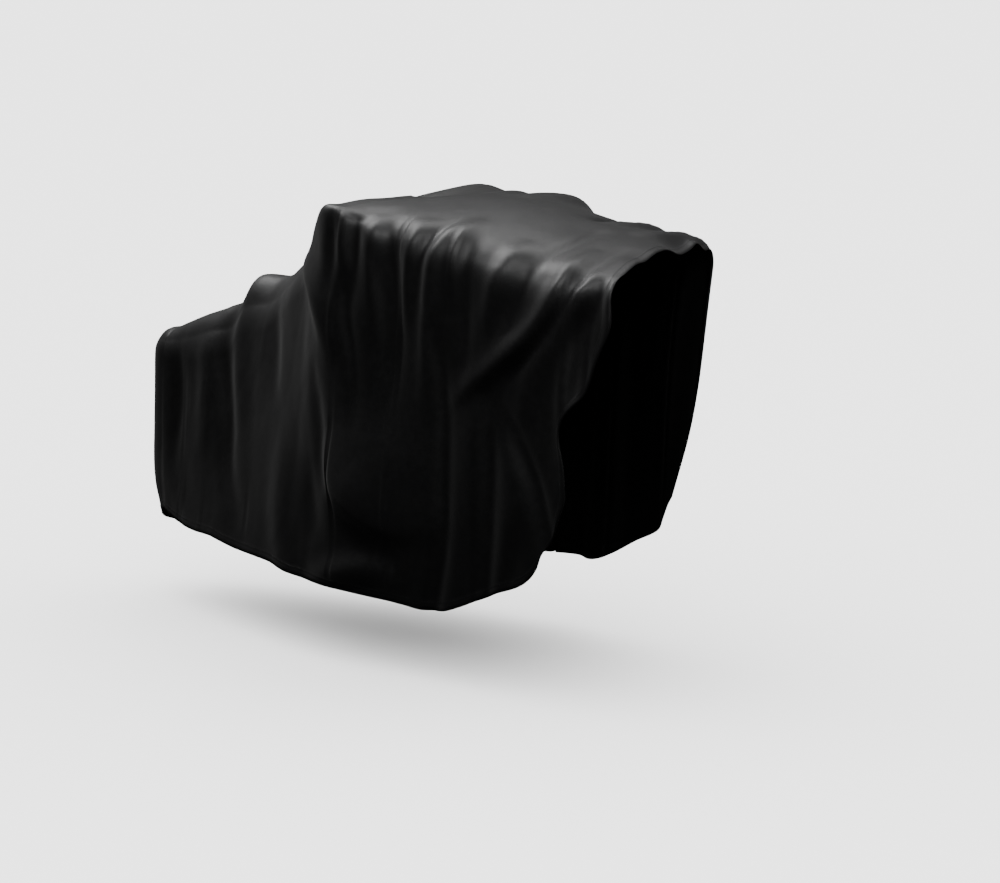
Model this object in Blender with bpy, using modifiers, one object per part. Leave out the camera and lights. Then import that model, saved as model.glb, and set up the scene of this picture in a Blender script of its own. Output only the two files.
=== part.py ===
"""Draped cover: one sheet of black coated cloth, pulled over from the rear.

The tables below are written in a frame on the ground: x runs forward from a point 0.25 m inside the
rear end, y to the far side, and z up from the ground. The finished cover is then moved so that its
origin lies under the middle of its top, where it is held up.
"""
import math
from collections import namedtuple

import bmesh
import bpy
import numpy as np

# Driving dimensions, in metres.
CLOTH_THICKNESS = 0.0025
HELD_AT_X = 1.20
HELD_AT_Z = 1.400
STEPS_DOWN = 24
LEAST_RUN = 0.03
NOSE_RUN = 0.12
SEAM_MERGE = 0.0001

# The far shoulder hangs a little lower where the top starts.
FAR_DROP = 0.022
FAR_DROP_X = 0.75
FAR_DROP_REACH = 0.20

# Steps in each stretch of a fold's course, and how fast a fold that runs off at the hem gains its rise.
COURSE_STEPS = 5
HEM_FOLD_PACE = 0.8

# Folds that cross the columns of faces at a slant are softened a little, this share each time.
SOFTENING = 0.4
SOFTENINGS = 2

# How far in from the front edge its bends and its droops reach. Only its points over the top droop.
EDGE_REACH = 0.30
DROOP_REACH = 0.055
DROOP_LEAST_Z = 1.20

# One row for each section, from the rear centre to the front edge. A section starts on the spine, runs out
# to the shoulder and hangs from there to the hem. "turn" is the way it faces in plan, 0 to the rear and
# 90 to the side; "skew" pulls the near half forward and the far half back; "bend" is half the length
# of cloth that rounds the shoulder; "columns" is how many columns of faces lead on to the next row.
Section = namedtuple(
    "Section",
    "spine_x spine_z half_width shoulder_z turn skew hem_out hem_shift hem_z bend columns",
)
SECTIONS = [
    Section(-0.250, 0.872, 0.092, 0.850, 0, 0.00, 0.108, 0.00, 0.222, 0.065, 3),
    Section(-0.250, 0.872, 0.092, 0.850, 45, 0.00, 0.112, 0.00, 0.238, 0.065, 2),
    Section(-0.250, 0.872, 0.092, 0.850, 90, 0.00, 0.125, 0.02, 0.285, 0.070, 2),
    Section(-0.150, 0.914, 0.098, 0.868, 90, 0.00, 0.160, 0.03, 0.266, 0.085, 3),
    Section(0.000, 0.968, 0.105, 0.906, 90, 0.00, 0.220, 0.03, 0.260, 0.095, 2),
    Section(0.085, 1.010, 0.107, 0.942, 90, 0.00, 0.243, 0.03, 0.262, 0.100, 2),
    Section(0.130, 1.077, 0.108, 0.994, 90, 0.00, 0.255, 0.03, 0.258, 0.100, 1),
    Section(0.150, 1.083, 0.110, 1.002, 90, 0.00, 0.260, 0.03, 0.256, 0.100, 2),
    Section(0.260, 1.088, 0.120, 1.026, 90, 0.00, 0.290, 0.03, 0.248, 0.105, 3),
    Section(0.430, 1.180, 0.195, 1.136, 90, 0.02, 0.340, 0.02, 0.248, 0.105, 3),
    Section(0.565, 1.262, 0.268, 1.232, 90, 0.03, 0.372, 0.01, 0.236, 0.090, 2),
    Section(0.640, 1.345, 0.318, 1.345, 90, 0.03, 0.388, 0.01, 0.232, 0.065, 3),
    Section(0.750, 1.390, 0.375, 1.404, 90, 0.02, 0.405, 0.01, 0.230, 0.042, 6),
    Section(1.000, 1.405, 0.385, 1.350, 90, 0.04, 0.415, 0.00, 0.224, 0.080, 6),
    Section(1.250, 1.400, 0.390, 1.315, 90, 0.06, 0.425, -0.03, 0.226, 0.095, 6),
    Section(1.470, 1.365, 0.390, 1.275, 90, 0.08, 0.435, -0.07, 0.306, 0.095, 5),
    Section(1.640, 1.335, 0.385, 1.255, 90, 0.10, 0.435, -0.11, 0.372, 0.085, 4),
    Section(1.780, 1.305, 0.378, 1.258, 90, 0.12, 0.430, -0.19, 0.470, 0.060, 0),
]

# The bends of the front edge on the near side: how far each pulls it forward, at what height, and how tall.
Bend = namedtuple("Bend", "forward height half_height")
EDGE_BENDS = [
    Bend(0.036, 1.13, 0.080),
    Bend(-0.060, 0.83, 0.095),
    Bend(0.012, 0.62, 0.050),
    Bend(-0.030, 0.46, 0.050),
]

# The droops of the front edge over the top: how far each hangs down, where across, and how wide.
Droop = namedtuple("Droop", "drop y half_width")
EDGE_DROOPS = [
    Droop(0.024, 0.12, 0.085),
    Droop(-0.010, 0.245, 0.030),
    Droop(0.014, 0.315, 0.035),
    Droop(0.008, -0.15, 0.050),
]

# One row for each fold: how far it rises off the sheet (a crease goes in, so it is less than 0), its
# half-width behind and before its crest, whether it runs off at the hem, and its crest's course from
# the top down, as (x, height) points. Height is measured along the cloth, so it goes on growing over the
# top, from the shoulder to the spine.
Fold = namedtuple("Fold", "rise behind before to_hem course")
NEAR_FOLDS = [
    # From the rear centre to the first of the two steps up.
    Fold(-0.010, 0.032, 0.032, False, [(-0.20, 0.92), (-0.152, 0.67), (-0.17, 0.38)]),
    Fold(0.014, 0.045, 0.045, True, [(-0.22, 0.50), (-0.11, 0.32), (0.12, 0.18)]),
    Fold(0.012, 0.045, 0.045, False, [(-0.04, 0.95), (0.00, 0.74), (0.02, 0.48)]),
    Fold(-0.028, 0.032, 0.050, False, [(0.04, 0.97), (0.07, 0.78), (0.18, 0.56), (0.28, 0.40), (0.44, 0.31)]),
    Fold(0.012, 0.050, 0.050, False, [(0.24, 1.06), (0.26, 0.88), (0.30, 0.66)]),
    Fold(-0.010, 0.040, 0.040, False, [(0.34, 1.06), (0.375, 0.88), (0.42, 0.70)]),
    Fold(-0.014, 0.028, 0.028, True, [(0.36, 0.57), (0.43, 0.39), (0.51, 0.15)]),
    Fold(0.028, 0.052, 0.052, True, [(0.49, 0.76), (0.46, 0.49), (0.51, 0.32), (0.72, 0.18)]),
    Fold(-0.016, 0.030, 0.030, True, [(0.55, 0.52), (0.60, 0.36), (0.76, 0.20)]),
    Fold(0.026, 0.055, 0.055, False, [(0.52, 1.22), (0.70, 1.13), (0.84, 0.92)]),
    Fold(-0.020, 0.026, 0.030, False, [(0.71, 0.92), (0.757, 0.765), (0.81, 0.61), (0.83, 0.50)]),
    # The lower rim of the belly, and the swag below it.
    Fold(0.034, 0.045, 0.120, False, [(0.79, 0.70), (0.84, 0.55), (0.97, 0.48), (1.10, 0.45), (1.30, 0.50)]),
    Fold(0.030, 0.060, 0.042, False, [(0.62, 0.21), (0.82, 0.28), (1.00, 0.31), (1.14, 0.25)]),
    # Below the rear half of the top's edge.
    Fold(-0.024, 0.034, 0.036, False, [(0.905, 1.42), (0.895, 1.26), (0.88, 1.06)]),
    Fold(-0.016, 0.024, 0.032, False, [(0.845, 1.22), (0.87, 1.08), (0.90, 0.93), (0.925, 0.68)]),
    Fold(0.018, 0.042, 0.036, False, [(0.96, 1.45), (0.98, 1.26), (0.98, 0.98)]),
    Fold(-0.024, 0.034, 0.038, False, [(1.02, 1.44), (1.05, 1.24), (1.075, 1.01), (1.05, 0.72)]),
    Fold(0.018, 0.036, 0.030, False, [(1.12, 1.45), (1.14, 1.27), (1.10, 1.02)]),
    Fold(-0.014, 0.024, 0.024, False, [(1.22, 1.46), (1.17, 1.29), (1.13, 1.10)]),
    Fold(0.028, 0.034, 0.046, False, [(1.28, 1.50), (1.235, 1.29), (1.215, 1.10), (1.20, 0.78)]),
    # The long crease down the side, and the folds before it.
    Fold(-0.024, 0.030, 0.050, True, [(1.20, 1.15), (1.265, 0.93), (1.28, 0.62), (1.27, 0.40), (1.20, 0.14)]),
    Fold(-0.012, 0.034, 0.034, False, [(1.345, 1.42), (1.35, 1.22), (1.35, 1.02), (1.34, 0.86)]),
    Fold(0.008, 0.044, 0.040, True, [(1.34, 0.66), (1.34, 0.40), (1.32, 0.12)]),
    Fold(0.020, 0.046, 0.040, False, [(1.51, 1.42), (1.475, 1.22), (1.42, 1.00)]),
    Fold(-0.014, 0.034, 0.034, False, [(1.57, 1.38), (1.56, 1.22), (1.49, 1.06)]),
    # The big slanting fold that comes down off the top's front corner, and the creases that fan out below it.
    Fold(
        0.040, 0.052, 0.032, False, [(1.69, 1.46), (1.715, 1.26), (1.635, 1.10), (1.46, 0.96), (1.28, 0.84)]
    ),
    Fold(
        -0.012, 0.024, 0.026, False, [(1.765, 1.34), (1.75, 1.21), (1.665, 1.07), (1.53, 0.94), (1.46, 0.80)]
    ),
    Fold(0.024, 0.055, 0.036, True, [(1.38, 0.97), (1.42, 0.82), (1.415, 0.58), (1.39, 0.15)]),
    Fold(-0.024, 0.032, 0.056, True, [(1.455, 0.92), (1.47, 0.76), (1.47, 0.55), (1.44, 0.15)]),
    Fold(0.020, 0.044, 0.048, False, [(1.53, 0.84), (1.55, 0.65), (1.52, 0.30)]),
    Fold(-0.014, 0.034, 0.034, True, [(1.60, 0.58), (1.57, 0.42), (1.52, 0.25)]),
    Fold(-0.020, 0.046, 0.038, True, [(1.45, 0.94), (1.57, 0.81), (1.657, 0.62), (1.72, 0.40)]),
    # Along the front edge.
    Fold(0.022, 0.036, 0.042, False, [(1.82, 1.34), (1.79, 1.22), (1.705, 1.09), (1.59, 0.96)]),
    Fold(
        -0.026, 0.032, 0.034, False, [(1.83, 1.34), (1.83, 1.24), (1.795, 1.10), (1.79, 0.96), (1.80, 0.84)]
    ),
    Fold(0.024, 0.036, 0.028, False, [(1.785, 1.14), (1.75, 0.99), (1.745, 0.82), (1.765, 0.58)]),
    Fold(0.018, 0.032, 0.040, False, [(1.90, 1.34), (1.90, 1.15), (1.86, 0.95)]),
]
FAR_FOLDS = [
    Fold(0.016, 0.035, 0.035, True, [(-0.16, 0.84), (-0.13, 0.60), (-0.12, 0.20)]),
    Fold(-0.022, 0.030, 0.035, True, [(0.06, 0.96), (0.10, 0.66), (0.20, 0.20)]),
    Fold(0.024, 0.045, 0.040, True, [(0.33, 1.02), (0.30, 0.72), (0.36, 0.18)]),
    Fold(-0.026, 0.035, 0.035, False, [(0.52, 1.16), (0.56, 0.88), (0.66, 0.52)]),
    Fold(0.030, 0.045, 0.040, True, [(0.76, 1.32), (0.74, 0.88), (0.64, 0.18)]),
    Fold(-0.028, 0.032, 0.036, True, [(0.90, 1.36), (0.92, 0.86), (0.84, 0.18)]),
    Fold(0.014, 0.035, 0.035, False, [(0.97, 1.60), (0.98, 1.43), (0.95, 1.10)]),
    Fold(0.046, 0.075, 0.055, True, [(1.15, 1.68), (1.16, 1.40), (1.13, 0.80), (1.06, 0.18)]),
    Fold(-0.026, 0.032, 0.036, True, [(1.29, 1.40), (1.28, 0.92), (1.22, 0.18)]),
    Fold(-0.028, 0.030, 0.024, False, [(1.45, 1.68), (1.44, 1.40), (1.37, 1.00)]),
    Fold(0.024, 0.026, 0.030, False, [(1.51, 1.62), (1.51, 1.40), (1.42, 0.74)]),
    Fold(-0.024, 0.028, 0.030, True, [(1.55, 1.36), (1.50, 0.90), (1.44, 0.30)]),
    Fold(0.040, 0.032, 0.034, True, [(1.64, 1.64), (1.63, 1.34), (1.56, 0.90), (1.50, 0.40)]),
]

# Rounder swellings: how far each rises, its middle and its half-sizes.
Swelling = namedtuple("Swelling", "rise x height half_length half_height")
NEAR_SWELLINGS = [
    Swelling(0.034, 1.02, 0.62, 0.22, 0.16),
    Swelling(-0.044, -0.38, 0.18, 0.14, 0.13),
    Swelling(-0.014, 0.76, 1.47, 0.10, 0.08),
    Swelling(-0.028, 0.86, 1.74, 0.08, 0.10),
    Swelling(-0.022, 0.90, 1.40, 0.10, 0.07),
]
FAR_SWELLINGS = [
    Swelling(-0.032, 0.76, 1.65, 0.14, 0.10),
    Swelling(0.006, 0.775, 1.45, 0.05, 0.07),
    Swelling(-0.014, 1.475, 1.50, 0.05, 0.07),
    Swelling(-0.044, -0.38, 0.18, 0.14, 0.13),
]


def smooth_curve(stations, rows, at):
    """Read rows of numbers as smooth curves over their stations (cubic Hermite), level at a turning point."""
    stations = np.asarray(stations, float)
    rows = np.asarray(rows, float)
    slope = np.gradient(rows, stations, axis=0)
    step = np.diff(rows, axis=0)
    slope[1:-1][step[:-1] * step[1:] <= 0] = 0.0
    left = np.clip(np.searchsorted(stations, at) - 1, 0, len(stations) - 2)
    span = (stations[left + 1] - stations[left])[:, None]
    t = (at - stations[left])[:, None] / span
    value = (2 * t**3 - 3 * t**2 + 1) * rows[left] + (3 * t**2 - 2 * t**3) * rows[left + 1]
    return value + span * ((t**3 - 2 * t**2 + t) * slope[left] + (t**3 - t**2) * slope[left + 1])


def corners(section, side):
    """Spine, shoulder and hem points of a section. side is 1 on the near half and -1 on the far half."""
    turn = math.radians(section.turn)
    facing = np.array([-math.cos(turn), -math.sin(turn) * side, 0.0])
    drop = 0.0
    if side < 0:
        drop = FAR_DROP * math.exp(-(((section.spine_x - FAR_DROP_X) / FAR_DROP_REACH) ** 2))
    skewed = section.spine_x + section.skew * side
    spine = np.array([section.spine_x, 0.0, section.spine_z])
    shoulder = np.array([skewed, 0.0, section.shoulder_z - drop]) + facing * section.half_width
    hem = np.array([skewed + section.hem_shift, 0.0, section.hem_z]) + facing * section.hem_out
    return spine, shoulder, hem


def section_stations():
    """Place of each section along the cover: the mean of its steps along the spine and along the hem."""
    places = [0.0]
    for one, two in zip(SECTIONS[:-1], SECTIONS[1:]):
        along_spine = abs(two.spine_x - one.spine_x)
        along_hem = np.linalg.norm(corners(two, 1)[2] - corners(one, 1)[2])
        places.append(places[-1] + max((along_spine + along_hem) / 2, LEAST_RUN))
    return places


def column_sections():
    """All the sections that carry a column of points, read between the rows of the table."""
    places = section_stations()
    at = [places[0]]
    for row, start, end in zip(SECTIONS[:-1], places[:-1], places[1:]):
        at.extend(np.linspace(start, end, row.columns + 1)[1:])
    rows = smooth_curve(places, SECTIONS, np.array(at))
    return [Section(*row) for row in rows], places[-1] - np.array(at)


def rounded_turn(past, bend):
    """How far past the shoulder the cloth has turned down, with its corner rounded over the bend."""
    return np.where(past < -bend, 0.0, np.where(past > bend, past, (past + bend) ** 2 / (4 * bend)))


def half_sheet(side):
    """Points of one half before its folds, with the fold coordinates x and height of each point."""
    sections, from_edge = column_sections()
    points = np.zeros((len(sections), STEPS_DOWN + 1, 3))
    height = np.zeros((len(sections), STEPS_DOWN + 1))
    along = np.zeros((len(sections), STEPS_DOWN + 1))
    crown = np.zeros((len(sections), 1))
    for i, section in enumerate(sections):
        spine, shoulder, hem = corners(section, side)
        over = np.linalg.norm(shoulder - spine)
        down = np.linalg.norm(hem - shoulder)
        out_way = (shoulder - spine) / over
        down_way = (hem - shoulder) / down
        run = np.linspace(0.0, over + down, STEPS_DOWN + 1)
        turned = rounded_turn(run - over, section.bend)
        points[i] = spine + np.outer(run, out_way) + np.outer(turned, down_way - out_way)
        part = np.clip(run / over, 0.0, 1.0)
        points[i][:, 2] += (spine[2] - shoulder[2]) * (part - part**2)
        height[i] = shoulder[2] + over - run
        crown[i] = height[i][0]
        if side > 0:
            pull = max(1 - from_edge[i] / EDGE_REACH, 0.0) ** 2
            for bend in EDGE_BENDS:
                reach = np.exp(-(((points[i][:, 2] - bend.height) / bend.half_height) ** 2))
                points[i][:, 0] += pull * bend.forward * reach * part
        near_edge = math.exp(-((from_edge[i] / DROOP_REACH) ** 2))
        for droop in EDGE_DROOPS:
            hang = droop.drop * np.exp(-(((points[i][:, 1] - droop.y) / droop.half_width) ** 2))
            points[i][:, 2] -= np.where(points[i][:, 2] > DROOP_LEAST_Z, near_edge * hang, 0.0)
        along[i] = points[i][:, 0]
        if section.turn < 90:
            along[i] = section.spine_x - NOSE_RUN * math.radians(90 - section.turn)
    return points, along, height, crown


def fold_lift(folds, swellings, along, height):
    """How far a half's folds and swellings lift the cloth at each point."""
    lift = np.zeros(along.shape)
    for fold in folds:
        ends = np.arange(len(fold.course))
        at = np.linspace(0, ends[-1], COURSE_STEPS * ends[-1] + 1)
        crest = smooth_curve(ends, fold.course, at)
        part = at / ends[-1]
        if fold.to_hem:
            part = np.minimum(part * HEM_FOLD_PACE, 0.5)
        share = np.sin(part * math.pi)
        nearest = np.full(along.shape, np.inf)
        ahead = np.zeros(along.shape, bool)
        strength = np.zeros(along.shape)
        for start, end, low, high in zip(crest[:-1], crest[1:], share[:-1], share[1:]):
            step = end - start
            x = along - start[0]
            z = height - start[1]
            t = np.clip((x * step[0] + z * step[1]) / step.dot(step), 0, 1)
            off_x = x - t * step[0]
            off_z = z - t * step[1]
            distance = np.hypot(off_x, off_z)
            closer = distance < nearest
            nearest[closer] = distance[closer]
            ahead[closer] = (step[0] * off_z - step[1] * off_x)[closer] > 0
            strength[closer] = (low + t * (high - low))[closer]
        half_width = np.where(ahead, fold.before, fold.behind)
        lift += fold.rise * strength * np.exp(-((nearest / half_width) ** 2))
    for swelling in swellings:
        x = (along - swelling.x) / swelling.half_length
        z = (height - swelling.height) / swelling.half_height
        lift += swelling.rise * np.exp(-(x**2) - z**2)
    return lift


def add_half(bm, layer, side, own, other):
    """Add one half's points and faces. own and other are the folds and swellings of the two halves."""
    points, along, height, crown = half_sheet(side)
    rear = along[0][0]
    lift = fold_lift(*own, along, height)
    lift += fold_lift(*other, along, 2 * crown - height)
    lift += fold_lift(*other, 2 * rear - along, height)
    grid = []
    for column, lifts in zip(points, lift):
        verts = [bm.verts.new(point) for point in column]
        for vert, rise in zip(verts, lifts):
            vert[layer] = rise
        grid.append(verts)
    for one, two in zip(grid[:-1], grid[1:]):
        for j in range(STEPS_DOWN):
            face = [one[j], one[j + 1], two[j + 1], two[j]]
            bm.faces.new(face if side > 0 else face[::-1])


def build_cover(collection):
    """Loft the two halves into one sheet, raise its folds, and give it its thickness inward."""
    near = (NEAR_FOLDS, NEAR_SWELLINGS)
    far = (FAR_FOLDS, FAR_SWELLINGS)
    bm = bmesh.new()
    layer = bm.verts.layers.float.new("lift")
    add_half(bm, layer, 1, near, far)
    add_half(bm, layer, -1, far, near)
    bmesh.ops.remove_doubles(bm, verts=bm.verts, dist=SEAM_MERGE)
    bm.normal_update()
    moves = [vert.normal * vert[layer] for vert in bm.verts]
    for vert, move in zip(bm.verts, moves):
        vert.co += move
    inner = [vert for vert in bm.verts if not vert.is_boundary]
    for _ in range(SOFTENINGS):
        bmesh.ops.smooth_vert(
            bm, verts=inner, factor=SOFTENING, use_axis_x=True, use_axis_y=True, use_axis_z=True
        )
    mesh = bpy.data.meshes.new("cover")
    bm.to_mesh(mesh)
    bm.free()
    mesh.shade_smooth()
    cover = bpy.data.objects.new("cover", mesh)
    cover.location = (-HELD_AT_X, 0.0, -HELD_AT_Z)
    collection.objects.link(cover)
    split = cover.modifiers.new("short_diagonals", "TRIANGULATE")
    split.quad_method = "SHORTEST_DIAGONAL"
    shell = cover.modifiers.new("thickness", "SOLIDIFY")
    shell.thickness = CLOTH_THICKNESS
    shell.offset = -1.0
    cover.data.materials.append(coated_cloth())
    return cover


def coated_cloth():
    """Black woven polyester with a satin coating."""
    material = bpy.data.materials.new("coated_cloth")
    material.use_nodes = True
    shader = material.node_tree.nodes["Principled BSDF"]
    shader.inputs["Base Color"].default_value = (0.018, 0.018, 0.019, 1.0)
    shader.inputs["Roughness"].default_value = 0.5
    shader.inputs["Metallic"].default_value = 0.0
    return material


for old in list(bpy.data.objects):
    bpy.data.objects.remove(old, do_unlink=True)
bicycle_cover = bpy.data.collections.new("bicycle_cover")
bpy.context.scene.collection.children.link(bicycle_cover)
build_cover(bicycle_cover)
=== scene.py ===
import math
from collections import namedtuple

import bmesh
import bpy
import numpy as np
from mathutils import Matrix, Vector, noise


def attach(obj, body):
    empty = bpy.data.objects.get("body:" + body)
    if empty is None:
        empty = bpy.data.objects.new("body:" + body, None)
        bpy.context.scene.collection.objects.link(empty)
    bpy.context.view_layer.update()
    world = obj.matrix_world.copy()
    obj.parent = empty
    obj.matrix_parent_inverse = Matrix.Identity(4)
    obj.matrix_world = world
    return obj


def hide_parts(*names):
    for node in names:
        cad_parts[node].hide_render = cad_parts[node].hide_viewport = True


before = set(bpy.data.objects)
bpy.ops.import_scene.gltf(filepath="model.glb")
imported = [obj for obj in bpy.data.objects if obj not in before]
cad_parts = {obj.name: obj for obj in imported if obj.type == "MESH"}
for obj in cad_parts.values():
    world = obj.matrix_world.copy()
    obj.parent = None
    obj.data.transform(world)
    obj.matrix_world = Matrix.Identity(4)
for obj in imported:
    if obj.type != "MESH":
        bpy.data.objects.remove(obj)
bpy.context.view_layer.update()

# ---- The cover -------------------------------------------------------------------------------------
# One sheet of black woven polyester with a satin coating, pulled over from the rear. It lies on what
# is under its top, hangs from there in uneven folds, and is turned over twice and stitched all along
# its edge.

# The tables are in metres: x runs forward from 0.25 m inside the rear end, and z up from the ground.
HELD_AT = Vector((1.20, 0.0, 1.400))
CLOTH_THICKNESS = 0.0016

# The grid of points: the pitch of its columns, its steps from the spine to the hem, the least distance
# between two sections, how far x goes on round the rear end, and how near points of both halves merge.
COLUMN_PITCH = 0.0105
STEPS_DOWN = 102
LEAST_RUN = 0.03
NOSE_RUN = 0.12
SEAM_MERGE = 0.0001

# The hem: its width, its thickness, how far it stands out, the rows of points that shape it, as shares of
# its width, the share of it that is thick, and which of the rows, from the edge in, the stitches lie on.
HEM_WIDTH = 0.028
HEM_THICKNESS = 0.0034
HEM_RISE = 0.0012
HEM_ROWS = (1.25, 1.02, 0.90, 0.45, 0.0)
HEM_THICK_SHARE = 0.95
STITCH_ROW = 2

# One row for each section, from the rear centre to the front edge. A section starts on the spine, runs out
# to the shoulder and hangs from there to the hem. "turn" is the way it faces in plan, 0 to the rear and
# 90 to the side; "skew" pulls the near half forward and the far half back; "bend" is half the length
# of cloth that rounds the shoulder.
Section = namedtuple(
    "Section",
    "spine_x spine_z half_width shoulder_z turn skew hem_out hem_shift hem_z bend",
)
SECTIONS = [
    Section(-0.250, 0.872, 0.092, 0.850, 0, 0.00, 0.108, 0.00, 0.222, 0.065),
    Section(-0.250, 0.872, 0.092, 0.850, 45, 0.00, 0.112, 0.00, 0.238, 0.065),
    Section(-0.250, 0.872, 0.092, 0.850, 90, 0.00, 0.125, 0.02, 0.285, 0.070),
    Section(-0.150, 0.914, 0.098, 0.868, 90, 0.00, 0.160, 0.03, 0.266, 0.085),
    Section(0.000, 0.968, 0.105, 0.906, 90, 0.00, 0.220, 0.03, 0.260, 0.095),
    Section(0.085, 1.010, 0.107, 0.942, 90, 0.00, 0.243, 0.03, 0.262, 0.100),
    Section(0.130, 1.077, 0.108, 0.994, 90, 0.00, 0.255, 0.03, 0.258, 0.100),
    Section(0.150, 1.083, 0.110, 1.002, 90, 0.00, 0.260, 0.03, 0.256, 0.100),
    Section(0.260, 1.088, 0.120, 1.026, 90, 0.00, 0.290, 0.03, 0.248, 0.105),
    Section(0.430, 1.180, 0.195, 1.136, 90, 0.02, 0.340, 0.02, 0.248, 0.105),
    Section(0.565, 1.262, 0.268, 1.232, 90, 0.03, 0.372, 0.01, 0.236, 0.090),
    Section(0.640, 1.345, 0.318, 1.345, 90, 0.03, 0.388, 0.01, 0.232, 0.065),
    Section(0.750, 1.390, 0.375, 1.404, 90, 0.02, 0.405, 0.01, 0.230, 0.042),
    Section(1.000, 1.405, 0.385, 1.350, 90, 0.04, 0.415, 0.00, 0.224, 0.080),
    Section(1.250, 1.400, 0.390, 1.315, 90, 0.06, 0.425, -0.03, 0.226, 0.095),
    Section(1.470, 1.365, 0.390, 1.275, 90, 0.08, 0.435, -0.07, 0.306, 0.095),
    Section(1.640, 1.335, 0.385, 1.255, 90, 0.10, 0.435, -0.11, 0.372, 0.085),
    Section(1.780, 1.305, 0.378, 1.258, 90, 0.12, 0.430, -0.19, 0.470, 0.060),
]
# The far shoulder hangs a little lower where the top starts.
FAR_DROP = 0.022
FAR_DROP_X = 0.75
FAR_DROP_REACH = 0.20

# The bends of the near front edge: how far each pulls it forward, at what height, and how tall it is.
# EDGE_REACH is how far back from the edge they still pull.
Bend = namedtuple("Bend", "forward height half_height")
EDGE_BENDS = [
    Bend(0.036, 1.13, 0.080),
    Bend(-0.060, 0.83, 0.095),
    Bend(0.012, 0.62, 0.050),
    Bend(-0.030, 0.46, 0.050),
]
EDGE_REACH = 0.30

# The front edge over the top droops here and there: how far, where across, and over what half-width.
# DROOP_REACH is how far back that fades, and only what is above EDGE_TOP_Z droops.
Droop = namedtuple("Droop", "drop y half_width")
EDGE_DROOPS = [
    Droop(0.024, 0.12, 0.085),
    Droop(-0.010, 0.245, 0.030),
    Droop(0.014, 0.315, 0.035),
    Droop(0.008, -0.15, 0.050),
]
DROOP_REACH = 0.055
EDGE_TOP_Z = 1.20

# Slight uneven waves over all the cloth: how high, and how many a metre along it and down it.
WAVE_HEIGHT = 0.0045
WAVES_ALONG = 7.0
WAVES_DOWN = 2.4
RIPPLE_HEIGHT = 0.0007
RIPPLES_PER_METRE = 24.0

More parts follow.
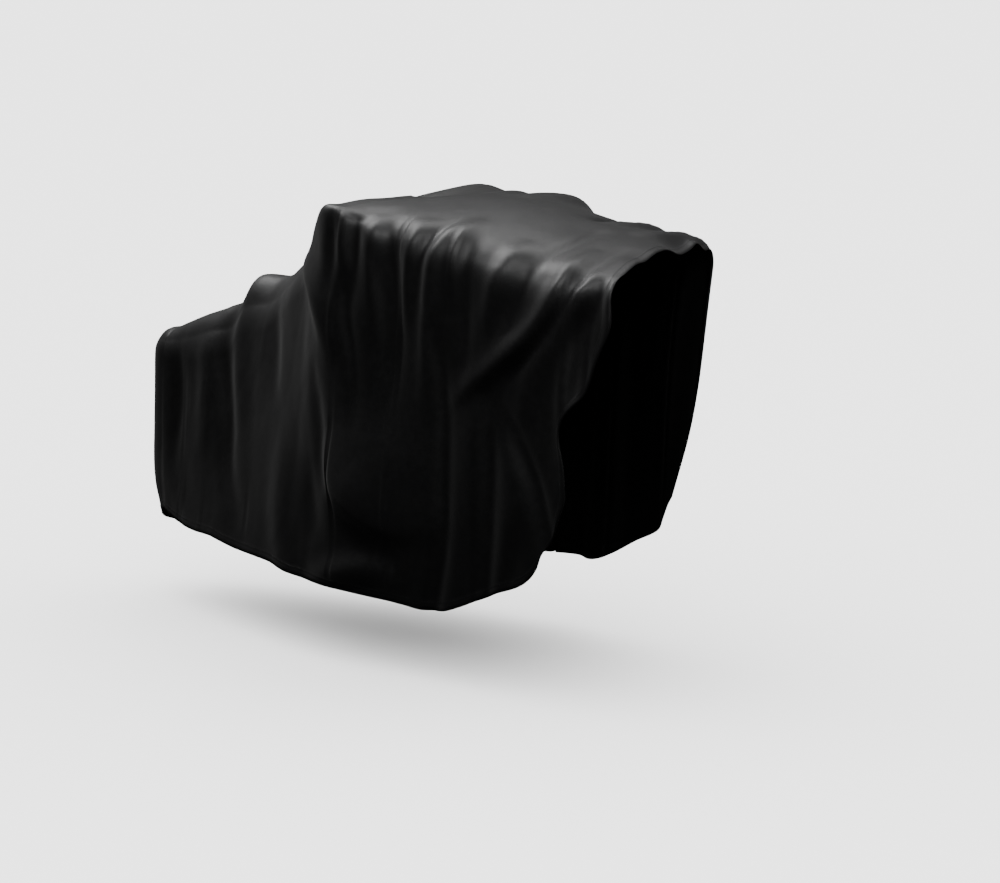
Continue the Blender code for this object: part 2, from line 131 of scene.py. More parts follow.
# One row for each fold: its rise (a crease goes in, so less than 0), its half-width behind and before
# its crest, whether it runs off at the hem, and its crest's course from the top down, in x and height.
# Height is measured along the cloth, so it goes on growing over the top from the shoulder to the spine.
Fold = namedtuple("Fold", "rise behind before to_hem course")
NEAR_FOLDS = [
    # From the rear centre to the first of the two steps up.
    Fold(-0.010, 0.032, 0.032, False, [(-0.20, 0.92), (-0.152, 0.67), (-0.17, 0.38)]),
    Fold(0.007, 0.050, 0.050, True, [(-0.22, 0.50), (-0.11, 0.32), (0.12, 0.18)]),
    Fold(0.012, 0.045, 0.045, False, [(-0.04, 0.95), (0.00, 0.74), (0.02, 0.48)]),
    Fold(-0.026, 0.036, 0.050, False, [(0.04, 0.97), (0.08, 0.79), (0.13, 0.62), (0.17, 0.46), (0.28, 0.28)]),
    Fold(0.008, 0.055, 0.055, False, [(0.24, 1.06), (0.26, 0.88), (0.30, 0.66)]),
    Fold(-0.010, 0.040, 0.040, False, [(0.34, 1.06), (0.375, 0.88), (0.42, 0.70)]),
    Fold(0.016, 0.070, 0.070, True, [(0.50, 0.72), (0.51, 0.49), (0.54, 0.34), (0.60, 0.18)]),
    Fold(-0.012, 0.060, 0.060, False, [(0.69, 0.62), (0.71, 0.46), (0.74, 0.34)]),
    Fold(0.026, 0.055, 0.055, False, [(0.52, 1.22), (0.70, 1.13), (0.84, 0.92)]),
    Fold(-0.012, 0.034, 0.040, False, [(0.69, 0.92), (0.735, 0.765), (0.77, 0.61), (0.79, 0.50)]),
    # The lower rim of the belly, and the swag below it.
    Fold(0.036, 0.050, 0.110, False, [(0.80, 0.71), (0.85, 0.56), (0.97, 0.48), (1.10, 0.45), (1.30, 0.50)]),
    Fold(0.030, 0.055, 0.044, False, [(0.68, 0.22), (0.84, 0.28), (1.00, 0.31), (1.14, 0.25)]),
    # Below the rear half of the top's edge.
    Fold(-0.014, 0.026, 0.026, False, [(0.82, 1.42), (0.81, 1.28), (0.80, 1.10)]),
    Fold(0.010, 0.026, 0.032, False, [(0.84, 1.42), (0.86, 1.27), (0.89, 1.12)]),
    Fold(-0.024, 0.034, 0.036, False, [(0.905, 1.42), (0.895, 1.26), (0.88, 1.06)]),
    Fold(-0.014, 0.022, 0.034, False, [(0.845, 1.22), (0.87, 1.08), (0.90, 0.93), (0.925, 0.68)]),
    Fold(0.018, 0.042, 0.036, False, [(0.96, 1.45), (0.98, 1.26), (0.98, 0.98)]),
    Fold(-0.012, 0.020, 0.026, False, [(0.985, 1.30), (1.02, 1.11), (1.03, 0.86)]),
    Fold(-0.022, 0.034, 0.038, False, [(1.02, 1.44), (1.05, 1.24), (1.075, 1.01), (1.05, 0.72)]),
    Fold(0.018, 0.036, 0.030, False, [(1.12, 1.45), (1.14, 1.27), (1.10, 1.02)]),
    Fold(-0.014, 0.020, 0.022, False, [(1.22, 1.46), (1.17, 1.29), (1.13, 1.10)]),
    Fold(0.026, 0.034, 0.046, False, [(1.28, 1.50), (1.235, 1.29), (1.215, 1.10), (1.20, 0.78)]),
    Fold(0.015, 0.016, 0.020, False, [(1.29, 1.46), (1.30, 1.30), (1.30, 1.12)]),
    # The long crease down the side, and the folds before it.
    Fold(-0.022, 0.024, 0.042, True, [(1.20, 1.15), (1.265, 0.93), (1.28, 0.62), (1.27, 0.40), (1.22, 0.14)]),
    Fold(-0.012, 0.034, 0.034, False, [(1.345, 1.42), (1.35, 1.22), (1.35, 1.02), (1.34, 0.86)]),
    Fold(0.004, 0.044, 0.040, True, [(1.34, 0.66), (1.34, 0.40), (1.32, 0.12)]),
    Fold(0.020, 0.046, 0.040, False, [(1.51, 1.42), (1.475, 1.22), (1.42, 1.00)]),
    Fold(-0.014, 0.034, 0.034, False, [(1.57, 1.38), (1.56, 1.22), (1.49, 1.06)]),
    # The big slanting fold off the top's front corner, and the creases that fan out below it.
    Fold(
        0.038, 0.052, 0.022, False, [(1.69, 1.46), (1.715, 1.26), (1.635, 1.10), (1.46, 0.96), (1.28, 0.84)]
    ),
    Fold(
        -0.005, 0.014, 0.018, False, [(1.765, 1.34), (1.75, 1.21), (1.665, 1.07), (1.53, 0.94), (1.46, 0.80)]
    ),
    Fold(0.010, 0.060, 0.044, False, [(1.37, 0.97), (1.40, 0.82), (1.40, 0.64), (1.39, 0.40)]),
    Fold(-0.022, 0.030, 0.044, True, [(1.445, 0.92), (1.46, 0.76), (1.462, 0.55), (1.44, 0.15)]),
    Fold(0.016, 0.040, 0.045, False, [(1.70, 1.08), (1.64, 0.99), (1.60, 0.91), (1.58, 0.80)]),
    Fold(0.010, 0.054, 0.056, False, [(1.55, 0.80), (1.57, 0.62), (1.54, 0.30)]),
    Fold(-0.008, 0.036, 0.036, True, [(1.60, 0.58), (1.57, 0.42), (1.52, 0.25)]),
    Fold(-0.020, 0.040, 0.034, True, [(1.45, 0.92), (1.55, 0.80), (1.645, 0.64), (1.71, 0.42)]),
    # Along the front edge.
    Fold(0.022, 0.034, 0.042, False, [(1.82, 1.34), (1.79, 1.22), (1.705, 1.09), (1.59, 0.96)]),
    Fold(
        -0.026, 0.030, 0.034, False, [(1.83, 1.34), (1.83, 1.24), (1.795, 1.10), (1.79, 0.96), (1.80, 0.84)]
    ),
    Fold(0.022, 0.036, 0.028, False, [(1.785, 1.14), (1.75, 0.99), (1.745, 0.82), (1.765, 0.58)]),
    Fold(0.018, 0.032, 0.040, False, [(1.90, 1.34), (1.90, 1.15), (1.86, 0.95)]),
    # Over the top, slanting back from the near front corner.
    Fold(-0.012, 0.016, 0.026, False, [(1.57, 1.66), (1.60, 1.45), (1.598, 1.27)]),
    Fold(-0.012, 0.016, 0.026, False, [(1.73, 1.55), (1.76, 1.353), (1.764, 1.23)]),
]
FAR_FOLDS = [
    Fold(0.016, 0.035, 0.035, True, [(-0.16, 0.84), (-0.13, 0.60), (-0.12, 0.20)]),
    Fold(-0.022, 0.030, 0.035, True, [(0.06, 0.96), (0.10, 0.66), (0.20, 0.20)]),
    Fold(0.024, 0.045, 0.040, True, [(0.33, 1.02), (0.30, 0.72), (0.36, 0.18)]),
    Fold(-0.026, 0.030, 0.035, False, [(0.52, 1.16), (0.56, 0.88), (0.66, 0.52)]),
    Fold(0.030, 0.045, 0.040, True, [(0.76, 1.32), (0.74, 0.88), (0.64, 0.18)]),
    Fold(-0.028, 0.022, 0.036, True, [(0.90, 1.36), (0.92, 0.86), (0.84, 0.18)]),
    Fold(0.014, 0.035, 0.035, False, [(0.97, 1.60), (0.98, 1.43), (0.95, 1.10)]),
    Fold(0.046, 0.075, 0.055, True, [(1.15, 1.68), (1.16, 1.40), (1.13, 0.80), (1.06, 0.18)]),
    Fold(-0.026, 0.022, 0.036, True, [(1.29, 1.40), (1.28, 0.92), (1.22, 0.18)]),
    Fold(-0.028, 0.030, 0.024, False, [(1.45, 1.68), (1.44, 1.40), (1.37, 1.00)]),
    Fold(0.024, 0.026, 0.030, False, [(1.51, 1.62), (1.51, 1.40), (1.42, 0.74)]),
    Fold(-0.024, 0.022, 0.030, True, [(1.55, 1.36), (1.50, 0.90), (1.44, 0.30)]),
    Fold(0.040, 0.032, 0.034, True, [(1.64, 1.64), (1.63, 1.34), (1.56, 0.90), (1.50, 0.40)]),
]
# Steps in each stretch of a fold's course, and how fast a fold that runs off at the hem gains its rise.
COURSE_STEPS = 7
HEM_FOLD_PACE = 0.8

# Rounder swellings: how far each rises, its middle and its half-sizes.
Swelling = namedtuple("Swelling", "rise x height half_length half_height")
NEAR_SWELLINGS = [
    Swelling(0.034, 1.02, 0.62, 0.22, 0.16),
    Swelling(-0.044, -0.38, 0.18, 0.14, 0.13),
    Swelling(-0.014, 0.76, 1.47, 0.10, 0.08),
    Swelling(-0.028, 0.86, 1.74, 0.08, 0.10),
    Swelling(-0.022, 0.90, 1.40, 0.10, 0.07),
]
FAR_SWELLINGS = [
    Swelling(-0.044, -0.38, 0.18, 0.14, 0.13),
    Swelling(-0.032, 0.76, 1.65, 0.14, 0.10),
    Swelling(0.006, 0.775, 1.45, 0.05, 0.07),
    Swelling(-0.014, 1.475, 1.50, 0.05, 0.07),
]


def smooth_curve(stations, rows, at):
    """Read rows of numbers as smooth curves over their stations, level at a turning point."""
    stations = np.asarray(stations, float)
    rows = np.asarray(rows, float)
    slope = np.gradient(rows, stations, axis=0)
    step = np.diff(rows, axis=0)
    slope[1:-1][step[:-1] * step[1:] <= 0] = 0.0
    left = np.clip(np.searchsorted(stations, at) - 1, 0, len(stations) - 2)
    span = (stations[left + 1] - stations[left])[:, None]
    t = (at - stations[left])[:, None] / span
    value = (2 * t**3 - 3 * t**2 + 1) * rows[left] + (3 * t**2 - 2 * t**3) * rows[left + 1]
    return value + span * ((t**3 - 2 * t**2 + t) * slope[left] + (t**3 - t**2) * slope[left + 1])


def corners(section, side):
    """Spine, shoulder and hem points of a section. side is 1 on the near half and -1 on the far half."""
    turn = math.radians(section.turn)
    facing = np.array([-math.cos(turn), -math.sin(turn) * side, 0.0])
    drop = 0.0
    if side < 0:
        drop = FAR_DROP * math.exp(-(((section.spine_x - FAR_DROP_X) / FAR_DROP_REACH) ** 2))
    skewed = section.spine_x + section.skew * side
    spine = np.array([section.spine_x, 0.0, section.spine_z])
    shoulder = np.array([skewed, 0.0, section.shoulder_z - drop]) + facing * section.half_width
    hem = np.array([skewed + section.hem_shift, 0.0, section.hem_z]) + facing * section.hem_out
    return spine, shoulder, hem


def steps_to_hem(length, count):
    """Even steps along a length that ends in a hem, with the hem's own rows at the end."""
    hem = [length - share * HEM_WIDTH for share in HEM_ROWS]
    return np.concatenate([np.linspace(0.0, hem[0], count - len(hem) + 2), hem[1:]])


def rounded_turn(past, bend):
    """How far past the shoulder the cloth has turned down, with its corner rounded over the bend."""
    return np.where(past < -bend, 0.0, np.where(past > bend, past, (past + bend) ** 2 / (4 * bend)))


def half_sheet(side):
    """Points of one half before its folds, with each one's x, height and distances to hem and edge."""
    places = [0.0]
    for one, two in zip(SECTIONS[:-1], SECTIONS[1:]):
        along_spine = abs(two.spine_x - one.spine_x)
        along_hem = np.linalg.norm(corners(two, 1)[2] - corners(one, 1)[2])
        places.append(places[-1] + max((along_spine + along_hem) / 2, LEAST_RUN))
    at = steps_to_hem(places[-1], round(places[-1] / COLUMN_PITCH))
    sections = [Section(*row) for row in smooth_curve(places, SECTIONS, at)]
    from_edge = places[-1] - at
    shape = (len(sections), STEPS_DOWN + 1)
    points = np.zeros(shape + (3,))
    height = np.zeros(shape)
    along = np.zeros(shape)
    to_hem = np.zeros(shape)
    for i, section in enumerate(sections):
        spine, shoulder, hem = corners(section, side)
        over = np.linalg.norm(shoulder - spine)
        down = np.linalg.norm(hem - shoulder)
        out_way = (shoulder - spine) / over
        down_way = (hem - shoulder) / down
        run = steps_to_hem(over + down, STEPS_DOWN)
        turned = rounded_turn(run - over, section.bend)
        points[i] = spine + np.outer(run, out_way) + np.outer(turned, down_way - out_way)
        part = np.clip(run / over, 0.0, 1.0)
        points[i][:, 2] += (spine[2] - shoulder[2]) * (part - part**2)
        height[i] = shoulder[2] + over - run
        to_hem[i] = over + down - run
        if side > 0:
            pull = max(1 - from_edge[i] / EDGE_REACH, 0.0) ** 2
            for bend in EDGE_BENDS:
                reach = np.exp(-(((points[i][:, 2] - bend.height) / bend.half_height) ** 2))
                points[i][:, 0] += pull * bend.forward * reach * part
        along[i] = points[i][:, 0]
        if section.turn < 90:
            along[i] = section.spine_x - NOSE_RUN * math.radians(90 - section.turn)
    to_edge = np.broadcast_to(from_edge[:, None], shape)
    return points, along, height, to_hem, to_edge


def fold_lift(folds, swellings, along, height):
    """How far a half's folds and swellings lift the cloth at each point."""
    lift = np.zeros(along.shape)
    for fold in folds:
        ends = np.arange(len(fold.course))
        at = np.linspace(0, ends[-1], COURSE_STEPS * ends[-1] + 1)
        crest = smooth_curve(ends, fold.course, at)
        part = at / ends[-1]
        if fold.to_hem:
            part = np.minimum(part * HEM_FOLD_PACE, 0.5)
        share = np.sin(part * math.pi)
        nearest = np.full(along.shape, np.inf)
        ahead = np.zeros(along.shape, bool)
        strength = np.zeros(along.shape)
        for start, end, low, high in zip(crest[:-1], crest[1:], share[:-1], share[1:]):
            step = end - start
            x = along - start[0]
            z = height - start[1]
            t = np.clip((x * step[0] + z * step[1]) / step.dot(step), 0, 1)
            off_x = x - t * step[0]
            off_z = z - t * step[1]
            distance = np.hypot(off_x, off_z)
            closer = distance < nearest
            nearest[closer] = distance[closer]
            ahead[closer] = (step[0] * off_z - step[1] * off_x)[closer] > 0
            strength[closer] = (low + t * (high - low))[closer]
        half_width = np.where(ahead, fold.before, fold.behind)
        lift += fold.rise * strength * np.exp(-((nearest / half_width) ** 2))
    for swelling in swellings:
        x = (along - swelling.x) / swelling.half_length
        z = (height - swelling.height) / swelling.half_height
        lift += swelling.rise * np.exp(-(x**2) - z**2)
    return lift


def uneven_waves(points):
    """Slight waves by place, longer down the cloth than along it, and small ripples on them."""
    waves = np.zeros(points.shape[:2])
    for i, j in np.ndindex(waves.shape):
        x, y, z = points[i, j]
        wave = noise.noise((x * WAVES_ALONG, y * WAVES_ALONG, z * WAVES_DOWN))
        ripple = noise.noise((x * RIPPLES_PER_METRE, y * RIPPLES_PER_METRE, z * RIPPLES_PER_METRE / 2))
        waves[i, j] = wave * WAVE_HEIGHT + ripple * RIPPLE_HEIGHT
    return waves


def add_half(bm, layers, side, own, other):
    """Add one half's points and faces, and note on each point what its place on the cloth is."""
    points, along, height, to_hem, to_edge = half_sheet(side)
    near_edge = np.exp(-((to_edge / DROOP_REACH) ** 2)) * (points[:, :, 2] > EDGE_TOP_Z)
    for droop in EDGE_DROOPS:
        across = (points[:, :, 1] - droop.y) / droop.half_width
        points[:, :, 2] -= near_edge * droop.drop * np.exp(-(across**2))
    crown = height[:, :1]
    lift = fold_lift(*own, along, height)
    lift += fold_lift(*other, along, 2 * crown - height)
    lift += fold_lift(*other, 2 * along[0][0] - along, height)
    lift += uneven_waves(points)
    inside = np.minimum(to_hem, to_edge)
    in_hem = inside < HEM_WIDTH * HEM_THICK_SHARE
    lift += np.where(in_hem, HEM_RISE, 0.0)
    # The stitch line runs on one row of points, along the bottom and then up the front edge.
    last = points.shape[0] - 1 - STITCH_ROW
    low = STEPS_DOWN - STITCH_ROW
    order = np.zeros(lift.shape)
    order[: last + 1, low] = np.arange(last + 1) + 1
    order[last, : low + 1] = last + 1 + low - np.arange(low + 1)
    if side < 0:
        order = np.where(order > 0, 2 * (last + 1 + low) - order, 0)
    grid = []
    for i in range(points.shape[0]):
        verts = [bm.verts.new(point) for point in points[i]]
        for j, vert in enumerate(verts):
            vert[layers["lift"]] = lift[i, j]
            vert[layers["in_hem"]] = in_hem[i, j]
            vert[layers["stitch_order"]] = order[i, j]
        grid.append(verts)
    for one, two in zip(grid[:-1], grid[1:]):
        for j in range(STEPS_DOWN):
            face = [one[j], one[j + 1], two[j + 1], two[j]]
            bm.faces.new(face if side > 0 else face[::-1])


near = (NEAR_FOLDS, NEAR_SWELLINGS)
far = (FAR_FOLDS, FAR_SWELLINGS)
bm = bmesh.new()
layers = {name: bm.verts.layers.float.new(name) for name in ("lift", "in_hem", "stitch_order")}
add_half(bm, layers, 1, near, far)
add_half(bm, layers, -1, far, near)
bmesh.ops.remove_doubles(bm, verts=bm.verts, dist=SEAM_MERGE)
bm.normal_update()
moves = [vert.normal * vert[layers["lift"]] for vert in bm.verts]
for vert, move in zip(bm.verts, moves):
    vert.co += move - HELD_AT
bm.normal_update()
hem_points = [vert.index for vert in bm.verts if vert[layers["in_hem"]] > 0.5]
order = layers["stitch_order"]
stitched = sorted((vert for vert in bm.verts if vert[order] > 0), key=lambda vert: vert[order])
stitch_path = np.array([vert.co for vert in stitched])
stitch_normals = np.array([vert.normal for vert in stitched])
cover_mesh = bpy.data.meshes.new("draped_cover")
bm.to_mesh(cover_mesh)
bm.free()
cover_mesh.shade_smooth()
draped_cover = bpy.data.objects.new("draped_cover", cover_mesh)
bpy.context.scene.collection.objects.link(draped_cover)
hem = draped_cover.vertex_groups.new(name="hem")
hem.add(hem_points, 1.0, "REPLACE")
shell = draped_cover.modifiers.new("thickness", "SOLIDIFY")
shell.thickness = HEM_THICKNESS
shell.vertex_group = "hem"
shell.thickness_vertex_group = CLOTH_THICKNESS / HEM_THICKNESS
shell.offset = -1.0


class Shade:
    """A socket of a material's nodes. Sums and products of sockets add Math nodes."""

    def __init__(self, socket):
        self.socket = socket
        self.tree = socket.id_data

    def node(self, kind, settings=None, **sockets):
        """Add a node of a type: its settings first, then the values or links of its sockets."""
        node = self.tree.nodes.new(kind)
        for name, value in (settings or {}).items():
            setattr(node, name, value)
        for name, value in sockets.items():
            key = int(name[1:]) if name[0] == "_" else name.replace("_", " ")
            if isinstance(value, Shade):
                self.tree.links.new(value.socket, node.inputs[key])
            else:
                node.inputs[key].default_value = value
        return Shade(next(socket for socket in node.outputs if socket.enabled))

    def output(self, name):
        """Another output of the same node."""
        return Shade(self.socket.node.outputs[name])

    def into(self, socket):
        """Link this to a shader's socket."""
        self.tree.links.new(self.socket, socket)

    def maths(self, operation, *values):
        """Add a Math node that works on values and sockets."""
        sockets = {f"_{i}": value for i, value in enumerate(values)}
        return self.node("ShaderNodeMath", {"operation": operation}, **sockets)

    def sine(self):
        """The sine of this, in radians."""
        return self.maths("SINE", self)

    def __add__(self, other):
        return self.maths("ADD", self, other)

    __radd__ = __add__

    def __sub__(self, other):
        return self.maths("SUBTRACT", self, other)

    def __rsub__(self, other):
        return self.maths("SUBTRACT", other, self)

    def __mul__(self, other):
        return self.maths("MULTIPLY", self, other)

    __rmul__ = __mul__

    def __pow__(self, other):
        return self.maths("POWER", self, other)

    def __rpow__(self, other):
        return self.maths("POWER", other, self)


def new_material(name):
    """A material, the inputs of its shader, and the object's own coordinates to build on."""
    material = bpy.data.materials.new(name)
    material.use_nodes = True
    tree = material.node_tree
    place = Shade(tree.nodes.new("ShaderNodeTexCoord").outputs["Object"])
    return material, tree.nodes["Principled BSDF"].inputs, place


def checker(one, two):
    """Yarns that pass over and under each other, one way and the other."""
    return (one * WEAVE_TURNS).sine() * (two * WEAVE_TURNS).sine()


CLOTH_BLACK = (0.010, 0.010, 0.0105, 1.0)
CLOTH_WORN = (0.024, 0.024, 0.0245, 1.0)
ROUGHNESS = 0.47
ROUGHNESS_SPREAD = 0.12
SHEEN = 0.11
SHEEN_ROUGHNESS = 0.45
SHEEN_WHITE = (1.0, 1.0, 1.0, 1.0)

# Where the coating is worn: in soft and in fine patches, and on the crests of folds. A patch's share is
# how much its noise counts, about its middle. A crest is rubbed from its least lift to its full one.
SOFT_PATCHES_PER_METRE = 2.6
SOFT_MIDDLE = 0.42
SOFT_SHARE = 1.1
FINE_PATCHES_PER_METRE = 41.0
FINE_MIDDLE = 0.5
FINE_SHARE = 0.9
RUBBED_LIFTS = (0.004, 0.05)
RUBBED_MOST = 0.55
RUBBED_SMOOTHER = 0.06

# The relief: plain weave with this pitch of yarns, and the crumples that stay in cloth that was folded.
YARN_PITCH = 0.0011
WEAVE_TURNS = math.pi / YARN_PITCH
WEAVE_RELIEF = 0.00006
CRUMPLES_PER_METRE = 17.0
CRUMPLE_RELIEF = 0.0006
RELIEF_STRENGTH = 0.8

coated_cloth, cloth, place = new_material("black_coated_cloth")
soft_patches = place.node(
    "ShaderNodeTexNoise", Vector=place, Scale=SOFT_PATCHES_PER_METRE, Detail=4.0, Roughness=0.55
)
fine_patches = place.node(
    "ShaderNodeTexNoise", Vector=place, Scale=FINE_PATCHES_PER_METRE, Detail=5.0, Roughness=0.65
)
crest = place.node("ShaderNodeAttribute", {"attribute_name": "lift"}).output("Fac")
rubbed = place.node(
    "ShaderNodeMapRange", Value=crest, From_Min=RUBBED_LIFTS[0], From_Max=RUBBED_LIFTS[1], To_Max=RUBBED_MOST
)
worn = rubbed + (soft_patches - SOFT_MIDDLE) * SOFT_SHARE + (fine_patches - FINE_MIDDLE) * FINE_SHARE
colour = place.node("ShaderNodeMix", {"data_type": "RGBA"}, Factor=worn, _6=CLOTH_BLACK, _7=CLOTH_WORN)
colour.into(cloth["Base Color"])
unevenness = (fine_patches - FINE_MIDDLE) * ROUGHNESS_SPREAD
(ROUGHNESS + unevenness - rubbed * RUBBED_SMOOTHER).into(cloth["Roughness"])
spot = place.node("ShaderNodeSeparateXYZ", Vector=place)
x, y, z = spot.output("X"), spot.output("Y"), spot.output("Z")
facing = place.node("ShaderNodeSeparateXYZ", Vector=place.output("Normal"))
facing_x, facing_y, facing_z = facing.output("X") ** 2, facing.output("Y") ** 2, facing.output("Z") ** 2
weave = facing_x * checker(y, z) + facing_y * checker(x, z) + facing_z * checker(x, y)
crumple = place.node("ShaderNodeTexNoise", Vector=place, Scale=CRUMPLES_PER_METRE, Detail=3.0, Roughness=0.5)
relief = weave * WEAVE_RELIEF + crumple * CRUMPLE_RELIEF
place.node("ShaderNodeBump", Strength=RELIEF_STRENGTH, Distance=1.0, Height=relief).into(cloth["Normal"])
cloth["Sheen Weight"].default_value = SHEEN
cloth["Sheen Roughness"].default_value = SHEEN_ROUGHNESS
cloth["Sheen Tint"].default_value = SHEEN_WHITE
cover_mesh.materials.append(coated_cloth)

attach(draped_cover, "root")
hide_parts("cover")

# ---- The hem's stitching ---------------------------------------------------------------------------
# One row of lockstitch in black polyester thread, 25 mm in from the edge, all along the bottom and
# the open front. It holds down the hem that is turned over twice.
STITCH_PITCH = 0.0052
STITCH_LENGTH = 0.0042
STITCH_THICKNESS = 0.0011
STITCH_SEAT = 0.0003
STITCH_SIDES = 6
STITCH_RINGS = 5
THREAD_BLACK = (0.022, 0.022, 0.023, 1.0)
THREAD_ROUGHNESS = 0.30
THREAD_ROUGHNESS_SPREAD = 0.25
FIBRES_PER_METRE = 900.0
FIBRE_RELIEF = 0.0004
FIBRE_STRENGTH = 0.5

steps = np.linalg.norm(np.diff(stitch_path, axis=0), axis=1)
run = np.concatenate([[0.0], np.cumsum(steps)])
at = np.arange(STITCH_PITCH / 2, run[-1], STITCH_PITCH)
middles, outs, heads = [
    np.stack([np.interp(places, run, rows[:, k]) for k in range(3)], axis=1)
    for places, rows in ((at, stitch_path), (at, stitch_normals), (at + STITCH_LENGTH / 2, stitch_path))
]
ways = heads - middles
ways /= np.linalg.norm(ways, axis=1, keepdims=True)
outs -= ways * (outs * ways).sum(axis=1, keepdims=True)
outs /= np.linalg.norm(outs, axis=1, keepdims=True)
sides = np.cross(ways, outs)

bm = bmesh.new()
bmesh.ops.create_uvsphere(bm, u_segments=STITCH_SIDES, v_segments=STITCH_RINGS, radius=0.5)
stitch = np.array([vert.co for vert in bm.verts])
faces = [[vert.index for vert in face.verts] for face in bm.faces]
bm.free()
axes = np.stack([sides * STITCH_THICKNESS, outs * STITCH_THICKNESS, ways * STITCH_LENGTH], axis=1)
points = middles[:, None] + outs[:, None] * STITCH_SEAT + np.einsum("pk,ska->spa", stitch, axes)
all_faces = [[vert + k * len(stitch) for vert in face] for k in range(len(middles)) for face in faces]
stitch_mesh = bpy.data.meshes.new("hem_stitching")
stitch_mesh.from_pydata(points.reshape(-1, 3).tolist(), [], all_faces)
stitch_mesh.shade_smooth()
hem_stitching = bpy.data.objects.new("hem_stitching", stitch_mesh)
bpy.context.scene.collection.objects.link(hem_stitching)

black_thread, thread, place = new_material("black_thread")
thread["Base Color"].default_value = THREAD_BLACK
fibres = place.node("ShaderNodeTexNoise", Vector=place, Scale=FIBRES_PER_METRE, Detail=2.0)
(THREAD_ROUGHNESS + fibres * THREAD_ROUGHNESS_SPREAD).into(thread["Roughness"])
raised = place.node("ShaderNodeBump", Strength=FIBRE_STRENGTH, Distance=FIBRE_RELIEF, Height=fibres)
raised.into(thread["Normal"])
stitch_mesh.materials.append(black_thread)
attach(hem_stitching, "root")

# ---- The floor -------------------------------------------------------------------------------------
# A plain pale floor at the real ground, 0.22 m below the lowest hem. It throws no light back up at the
# dark cloth, whose underside stays black as in the photograph.
FLOOR_SIZE = 60.0
FLOOR_PALE = (0.85, 0.85, 0.85, 1.0)
FLOOR_ROUGHNESS = 0.9
floor_mesh = bpy.data.meshes.new("pale_floor")
bm = bmesh.new()
bmesh.ops.create_grid(bm, x_segments=1, y_segments=1, size=FLOOR_SIZE / 2)
bm.to_mesh(floor_mesh)
bm.free()
floor = bpy.data.objects.new("pale_floor", floor_mesh)
floor.location = (0, 0, -HELD_AT.z)
floor.visible_diffuse = False
floor.visible_glossy = False
bpy.context.scene.collection.objects.link(floor)
floor_paint, paint, _ = new_material("pale_floor")
paint["Base Color"].default_value = FLOOR_PALE
paint["Roughness"].default_value = FLOOR_ROUGHNESS
floor_mesh.materials.append(floor_paint)

# ---- The studio light ------------------------------------------------------------------------------
# A wide soft light over the cloth, one from the rear, a weaker one on its near side and a weak one from
# the right. The floor has a wide light of its own, with a fill that keeps its shadow grey, and the
# backdrop is white.
Lamp = namedtuple("Lamp", "name width height watts at aim")
LAMPS = [
    Lamp("top_light", 5.0, 2.8, 150.0, (0.0, 1.4, 4.0), (0.1, 0.0, -0.1)),
    Lamp("rear_light", 2.4, 2.0, 110.0, (-3.2, 0.2, 2.8), (-1.1, 0.0, -0.4)),
    Lamp("side_light", 2.0, 1.2, 42.0, (0.8, -2.0, 2.4), (0.4, -0.3, -0.3)),
    Lamp("right_light", 2.0, 3.0, 20.0, (3.8, -4.4, 1.8), (0.4, 0.0, -0.4)),
]
FLOOR_SUNS = {"floor_light": 8.0, "floor_fill": 4.0}
FLOOR_SUN_ANGLE = math.radians(130)
BACKDROP = 4.0
ROOM_LIGHT = 0.20

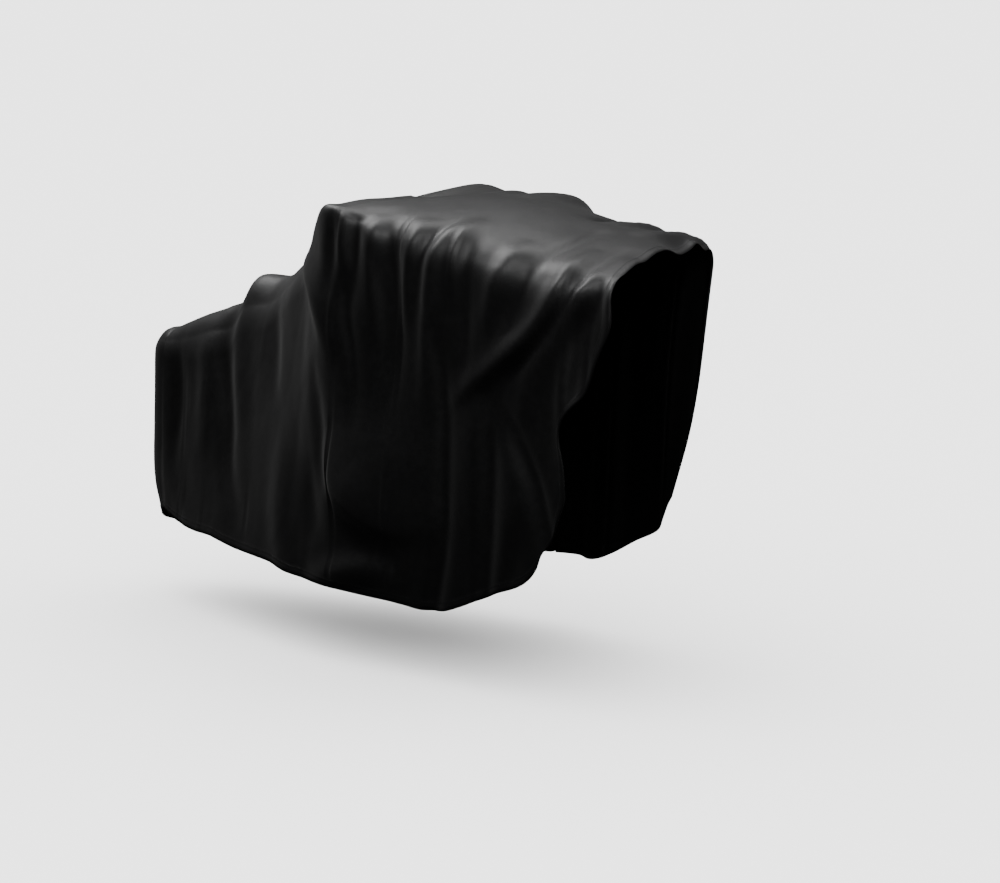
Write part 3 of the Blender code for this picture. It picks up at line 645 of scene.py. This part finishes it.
lit_cloth = bpy.data.collections.new("lit_cloth")
lit_cloth.objects.link(draped_cover)
lit_cloth.objects.link(hem_stitching)
lit_floor = bpy.data.collections.new("lit_floor")
lit_floor.objects.link(floor)
for row in LAMPS:
    lamp = bpy.data.lights.new(row.name, "AREA")
    lamp.shape = "RECTANGLE"
    lamp.size = row.width
    lamp.size_y = row.height
    lamp.energy = row.watts
    holder = bpy.data.objects.new(row.name, lamp)
    holder.location = row.at
    holder.rotation_euler = (Vector(row.at) - Vector(row.aim)).to_track_quat("Z", "Y").to_euler()
    holder.light_linking.receiver_collection = lit_cloth
    bpy.context.scene.collection.objects.link(holder)
for name, strength in FLOOR_SUNS.items():
    sun = bpy.data.lights.new(name, "SUN")
    sun.energy = strength
    sun.angle = FLOOR_SUN_ANGLE
    sun.use_shadow = name != "floor_fill"
    holder = bpy.data.objects.new(name, sun)
    holder.light_linking.receiver_collection = lit_floor
    bpy.context.scene.collection.objects.link(holder)

world = bpy.data.worlds.new("studio")
bpy.context.scene.world = world
world.use_nodes = True
room = Shade(world.node_tree.nodes["Background"].outputs[0])
world.node_tree.nodes["Background"].inputs["Strength"].default_value = ROOM_LIGHT
backdrop = room.node("ShaderNodeBackground", Strength=BACKDROP)
seen = room.node("ShaderNodeLightPath").output("Is Camera Ray")
shown = room.node("ShaderNodeMixShader", _0=seen, _1=room, _2=backdrop)
shown.into(world.node_tree.nodes["World Output"].inputs["Surface"])

# ---- The camera ------------------------------------------------------------------------------------
# The photograph's view: from the front right of the cover, a little above it, through a long lens.
CAMERA_AZIMUTH = math.radians(41.5)
CAMERA_ELEVATION = math.radians(10.6)
CAMERA_DISTANCE = 11.853
CAMERA_AIM = Vector((0.5776, 0.6363, 0.5016)) - HELD_AT
LENS_MM = 130
SENSOR_MM = 36
back = Vector((
    math.sin(CAMERA_AZIMUTH) * math.cos(CAMERA_ELEVATION),
    -math.cos(CAMERA_AZIMUTH) * math.cos(CAMERA_ELEVATION),
    math.sin(CAMERA_ELEVATION),
))
camera_data = bpy.data.cameras.new("photo_view")
camera_data.lens = LENS_MM
camera_data.sensor_width = SENSOR_MM
camera = bpy.data.objects.new("photo_view", camera_data)
camera.location = CAMERA_AIM + back * CAMERA_DISTANCE
camera.rotation_euler = back.to_track_quat("Z", "Y").to_euler()
bpy.context.scene.collection.objects.link(camera)
bpy.context.scene.camera = camera
